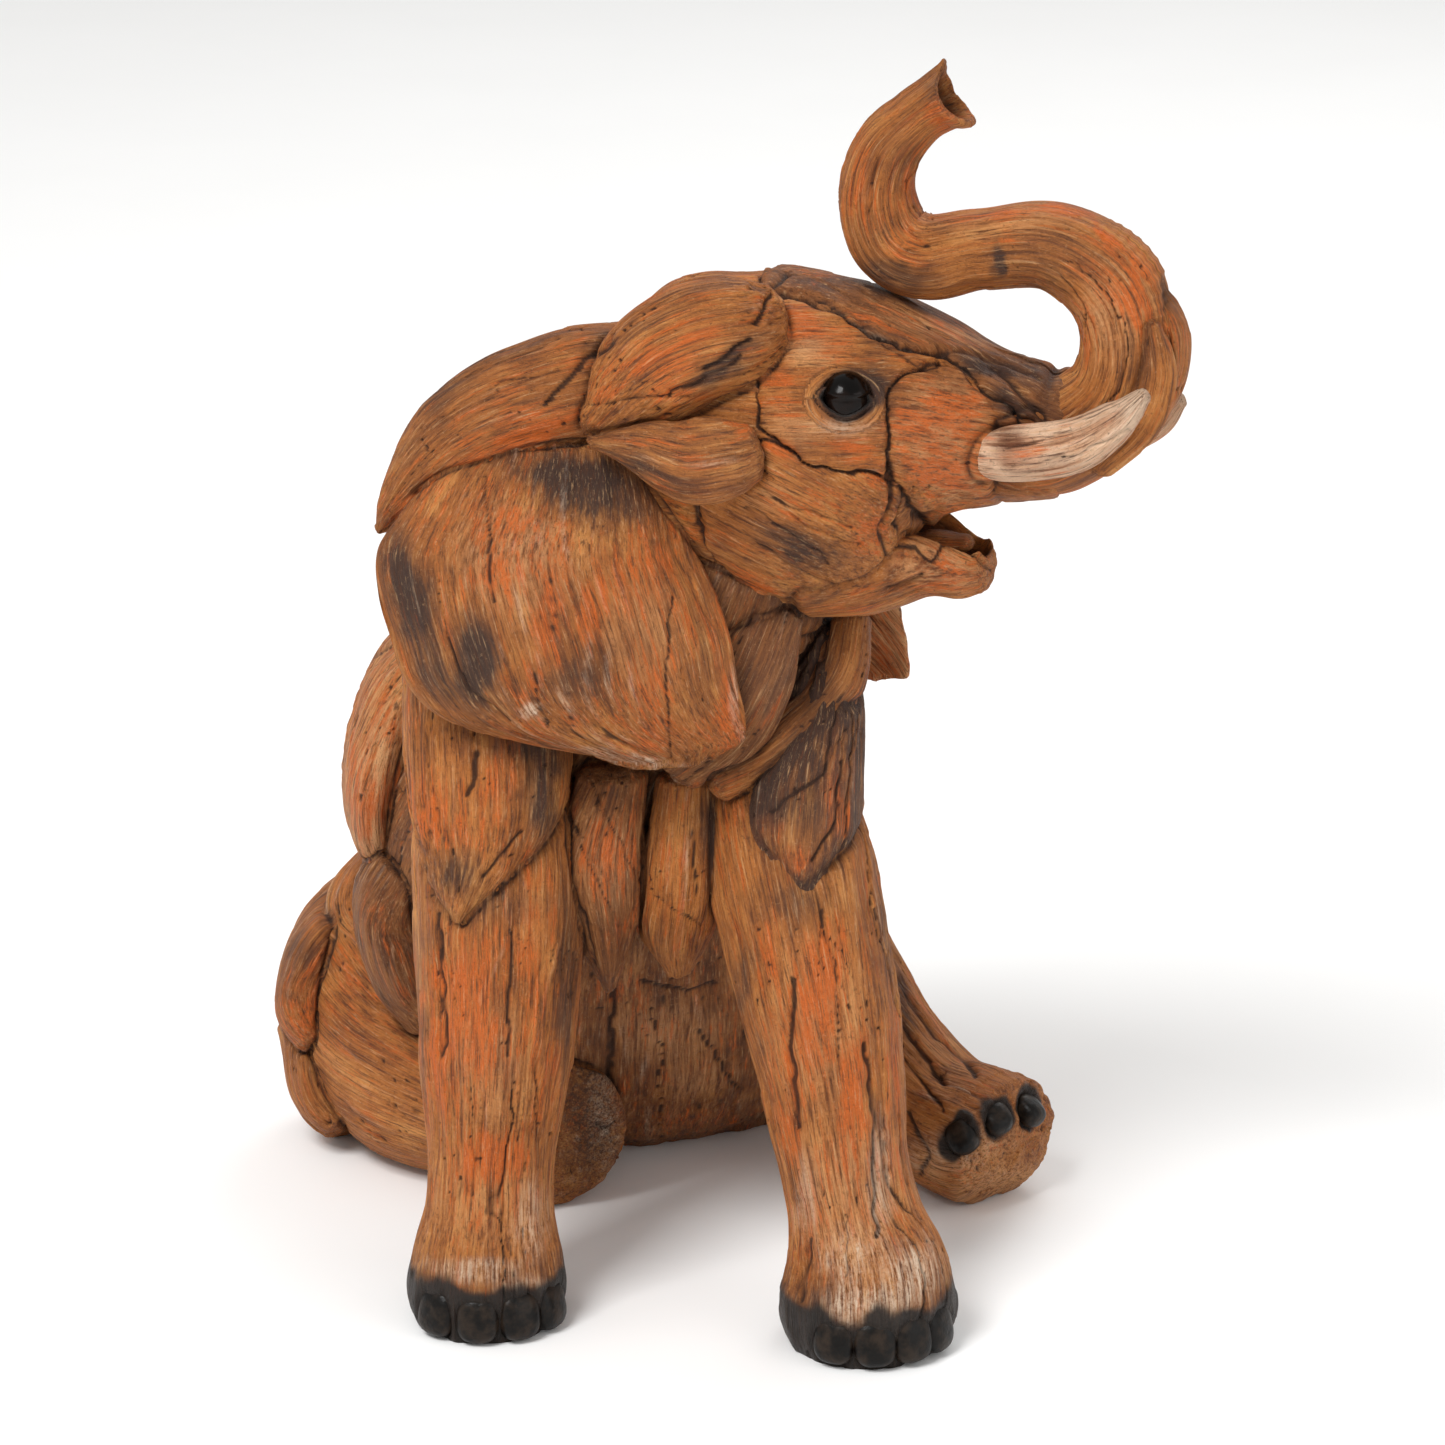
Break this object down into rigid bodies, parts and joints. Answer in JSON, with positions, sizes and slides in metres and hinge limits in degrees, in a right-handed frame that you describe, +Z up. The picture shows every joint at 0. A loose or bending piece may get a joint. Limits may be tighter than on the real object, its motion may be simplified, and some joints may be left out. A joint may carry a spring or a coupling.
{
  "type": "elephant figurine",
  "caption": "Sitting elephant figurine in weathered driftwood slabs, head turned to its left, trunk curled up over the forehead.",
  "frame": {"origin": "middle of the bounding box's footprint, on the surface that the figurine stands on", "axes": "+Z up; -Y is the way the chest faces; +X is the figurine's left, the side its head and trunk turn to"},
  "size_m": [0.2266, 0.2294, 0.3026],
  "materials": {
    "wood_tan": "dry weathered grain with fine cracks, tan brown",
    "wood_orange": "dry weathered grain with orange streaks",
    "wood_brown": "dry weathered grain, grey brown, cracked",
    "wood_pale": "pale streaky wood, lightly polished",
    "horn_black": "satin black paint over wood",
    "eye_gloss": "glossy near-black bead"
  },
  "bodies": {
    "root": {"back_slab_left": "wood_brown", "back_slab_middle": "wood_tan", "back_slab_right": "wood_brown", "brow_left": "wood_tan", "brow_right": "wood_tan", "cheek_left": "wood_tan", "cheek_right": "wood_tan", "chest_slab_middle": "wood_tan", "chest_slab_right": "wood_brown", "ear_crest_left": "wood_tan", "ear_crest_right": "wood_tan", "ear_flap_left": "wood_orange", "ear_flap_right": "wood_orange", "ear_roll_left": "wood_orange", "ear_roll_right": "wood_orange", "eye_left": "eye_gloss", "eye_right": "eye_gloss", "flank_slab_left": "wood_tan", "flank_slab_lower_right": "wood_brown", "flank_slab_upper_right": "wood_tan", "forehead_slab": "wood_brown", "front_leg_left": "wood_tan", "front_leg_right": "wood_tan", "hind_leg_left": "wood_tan", "hind_leg_right": "wood_tan", "lower_jaw": "wood_tan", "nail_front_left_1": "horn_black", "nail_front_left_2": "horn_black", "nail_front_left_3": "horn_black", "nail_front_left_4": "horn_black", "nail_front_right_1": "horn_black", "nail_front_right_2": "horn_black", "nail_front_right_3": "horn_black", "nail_front_right_4": "horn_black", "nail_hind_left_1": "horn_black", "nail_hind_left_2": "horn_black", "nail_hind_left_3": "horn_black", "nail_hind_right_1": "horn_black", "nail_hind_right_2": "horn_black", "nail_hind_right_3": "horn_black", "neck": "wood_brown", "neck_slab": "wood_brown", "shoulder_slab_left": "wood_tan", "shoulder_slab_right": "wood_tan", "skull": "wood_tan", "snout_slab_left": "wood_orange", "snout_slab_right": "wood_orange", "tail": "wood_brown", "temple_slab": "wood_tan", "thigh_slab_lower": "wood_orange", "thigh_slab_upper": "wood_orange", "throat_slab": "wood_pale", "tongue": "wood_orange", "torso": "wood_brown", "trunk": "wood_tan", "trunk_strip_front": "wood_tan", "trunk_strip_side": "wood_tan", "tusk_left": "wood_pale", "tusk_right": "wood_pale"}
  },
  "joints": []
}
